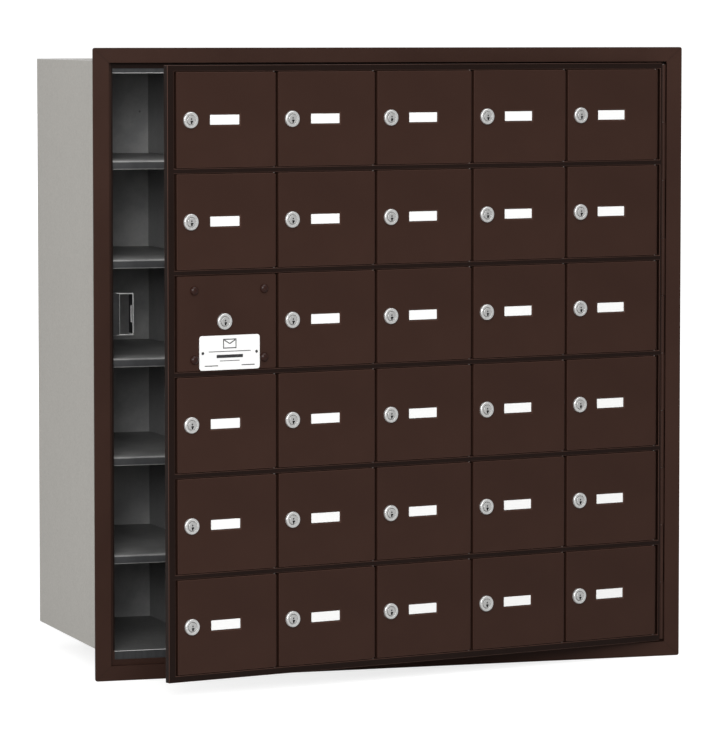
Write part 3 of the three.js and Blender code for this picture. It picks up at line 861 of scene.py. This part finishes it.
for number in range(1, 5):
    node = f"panel_bolt_{number}"
    low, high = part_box(node)
    centre = master_at.inverted() @ ((low + high) / 2)
    bolt = finish_source(carriage_bolt(node + "_source"), BOLT_PAINT)
    shift = Matrix.Translation((centre.x, 0, centre.z))
    seated = place(bolt, f"carriage_bolt_{number}", master_at @ shift, "master_door")
    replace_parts(seated, node)
    bpy.data.objects.remove(bolt)

low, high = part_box("id_plate")
plate_middle = master_at.inverted() @ ((low + high) / 2)
PLATE_FACE = LEAF_FRONT - 1.5 * MM


def plate_rivets():
    bm = bmesh.new()
    for side in (-1, 1):
        dome = [(0, PLATE_FACE - 1.0 * MM), (1.1 * MM, PLATE_FACE - 0.8 * MM),
                (1.8 * MM, PLATE_FACE - 0.4 * MM), (2.0 * MM, PLATE_FACE - 0.03 * MM),
                (0, PLATE_FACE - 0.03 * MM)]
        add_lathe(bm, dome, 24, centre=(side * 41 * MM, 0))
    return obj_from(bm, "plate_rivets")


def stroke(bm, start, end, width, y_front, y_back):
    """A flat bar of print from one point to another, in X and Z."""
    a, b = Vector(start), Vector(end)
    along = (b - a).normalized()
    side = Vector((-along.y, along.x)) * width / 2
    corners = [a + side, a - side, b - side, b + side]
    add_prism(bm, [(c.x, c.y) for c in corners], y_front, y_back)


def plate_print():
    """A generic envelope picture with plain rules round it, and no lettering."""
    bm = bmesh.new()
    y = (PLATE_FACE - 0.09 * MM, PLATE_FACE - 0.02 * MM)
    wide, tall, line = 19 * MM, 11.5 * MM, 1.3 * MM
    top, bottom = 17.5 * MM, 17.5 * MM - tall
    left, right = -wide / 2, wide / 2
    stroke(bm, (left - line / 2, top), (right + line / 2, top), line, *y)
    stroke(bm, (left - line / 2, bottom), (right + line / 2, bottom), line, *y)
    stroke(bm, (left, top - line / 2), (left, bottom + line / 2), line, *y)
    stroke(bm, (right, top - line / 2), (right, bottom + line / 2), line, *y)
    stroke(bm, (left + line, top - line * 0.8), (0, (top + bottom) / 2), line, *y)
    stroke(bm, (right - line, top - line * 0.8), (0, (top + bottom) / 2), line, *y)
    rules = ((1.6, 64, 1.0), (-4.8, 40, 4.2), (-10.8, 30, 0.9))
    for height, length, width in rules:
        ends = (-length / 2 * MM, height * MM), (length / 2 * MM, height * MM)
        stroke(bm, *ends, width * MM, *y)
    for side in (-1, 1):
        inner, outer = side * 18 * MM, side * 38 * MM
        stroke(bm, (min(inner, outer), -17 * MM), (max(inner, outer), -17 * MM), 1.2 * MM, *y)
    return obj_from(bm, "plate_print")


for made, material in ((plate_rivets(), DARK_STEEL_AND_SHADE), (plate_print(), INK)):
    made.data.materials.append(material)
    made.matrix_world = master_at @ Matrix.Translation((plate_middle.x, 0, plate_middle.z))
    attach(made, "master_door")

# ---- Rivets of the cabinet --------------------------------------------------------------------


def rivet_heads(name, points, outward, radius, material):
    """Low domed rivet heads at points of a flat sheet, as one piece of the cabinet."""
    bm = bmesh.new()
    turn = Vector((0, -1, 0)).rotation_difference(Vector(outward)).to_matrix().to_4x4()
    for point in points:
        start = len(bm.verts)
        dome = [(0, -0.45 * radius), (0.45 * radius, -0.4 * radius),
                (0.8 * radius, -0.24 * radius), (radius, 0), (0.9 * radius, 0.02 * radius),
                (0, 0.02 * radius)]
        add_lathe(bm, dome, 20)
        bm.verts.ensure_lookup_table()
        bmesh.ops.transform(bm, matrix=Matrix.Translation(point) @ turn, verts=bm.verts[start:])
    made = obj_from(bm, name)
    made.data.materials.append(material)
    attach(made, "cabinet")
    return made


keeper_low, keeper_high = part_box("strike_keeper")
keeper_points = [Vector((keeper_low.x + 6 * MM, keeper_low.y - 0.02 * MM, z))
                 for z in (keeper_low.z + 9 * MM, keeper_high.z - 9 * MM)]
rivet_heads("keeper_rivets", keeper_points, (0, -1, 0), 1.9 * MM, DARK_STEEL_AND_SHADE)

low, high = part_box("cabinet_back")
back_points = [Vector((low.x + (high.x - low.x) * (column + 0.92) / 5, low.y - 0.02 * MM,
                       high.z - 74 * MM)) for column in range(5)]
rivet_heads("back_rivets", back_points, (0, -1, 0), 1.8 * MM, STEEL)


def mitre_seams():
    """The fine joint lines across the corners of the trim's face."""
    bm = bmesh.new()
    low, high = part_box("trim_frame")
    face = (low.y - 0.03 * MM, low.y + 0.02 * MM)
    for sx, outer_x in ((-1, low.x), (1, high.x)):
        for sz, outer_z in ((-1, low.z), (1, high.z)):
            inner = (outer_x - sx * TRIM_CORNER[0], outer_z - sz * TRIM_CORNER[1])
            corner = (outer_x - sx * 1.2 * MM, outer_z - sz * 1.1 * MM)
            stroke(bm, inner, corner, 0.35 * MM, *face)
    return obj_from(bm, "trim_mitre_seams")


seams = finish_source(mitre_seams(), SEAM)
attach(seams, "cabinet")

# ---- Stage, light and camera ------------------------------------------------------------------

scene = bpy.context.scene
scene.view_settings.view_transform = "Standard"
scene.view_settings.look = "None"

low, high = cad_box
bm = bmesh.new()
bmesh.ops.create_grid(bm, x_segments=1, y_segments=1, size=40)
floor = obj_from(bm, "studio_floor")
floor.location = (0, 0, low[2] - 0.5 * MM)
studio = Nodes("studio_floor")
studio.set(Base_Color=studio.ramp(studio.noise(0.6), (0.5, 0.5, 0.5), (0.54, 0.54, 0.54)),
           Roughness=0.9, Specular_IOR_Level=0.0)
paths = studio.tree.nodes.new("ShaderNodeLightPath")
studio.set(Emission_Color=(1, 1, 1))
x, y, _ = studio.axes()
squares = studio.math("ADD", studio.math("MULTIPLY", x, x), studio.math("MULTIPLY", y, y))
reach = studio.math("SQRT", squares)
glow = studio.level(studio.math("MULTIPLY", reach, 0.2), 0.72, 1.05)
studio.set(Emission_Strength=studio.math("MULTIPLY", paths.outputs["Is Camera Ray"], glow))
floor.data.materials.append(studio.material)

world = bpy.data.worlds.new("studio")
scene.world = world
world.use_nodes = True
background = world.node_tree.nodes["Background"]
background.inputs["Color"].default_value = (1, 1, 1, 1)
path = world.node_tree.nodes.new("ShaderNodeLightPath")
seen = world.node_tree.nodes.new("ShaderNodeMapRange")
seen.inputs["To Min"].default_value = 0.42
seen.inputs["To Max"].default_value = 1.05
world.node_tree.links.new(path.outputs["Is Camera Ray"], seen.inputs["Value"])
world.node_tree.links.new(seen.outputs["Result"], background.inputs["Strength"])


def softbox(name, location, target, size, power):
    light = bpy.data.lights.new(name, "AREA")
    light.shape = "RECTANGLE"
    light.size, light.size_y = size
    light.energy = power
    made = bpy.data.objects.new(name, light)
    scene.collection.objects.link(made)
    made.location = location
    made.rotation_euler = (Vector(target) - Vector(location)).to_track_quat("-Z", "Y").to_euler()
    return made


MIDDLE = (0, 0, (low[2] + high[2]) / 2)
softbox("key_softbox", (-1.7, -4.8, 2.6), MIDDLE, (3.0, 2.2), 130)
softbox("camera_softbox", (-2.2, -5.2, 1.5), MIDDLE, (1.2, 1.2), 66)
softbox("side_softbox", (-3.8, -0.8, 1.6), MIDDLE, (2.0, 2.0), 55)
softbox("top_softbox", (0.6, -1.6, 3.6), MIDDLE, (3.0, 2.4), 50)

camera = bpy.data.cameras.new("photo_camera")
camera.lens = 223.4
camera.clip_end = 200
view = bpy.data.objects.new("photo_camera", camera)
scene.collection.objects.link(view)
view.location = (-1.9698, -5.8955, 0.8703)
view.rotation_euler = (math.radians(90 - 4.249), 0, math.radians(-18.093))
scene.camera = view
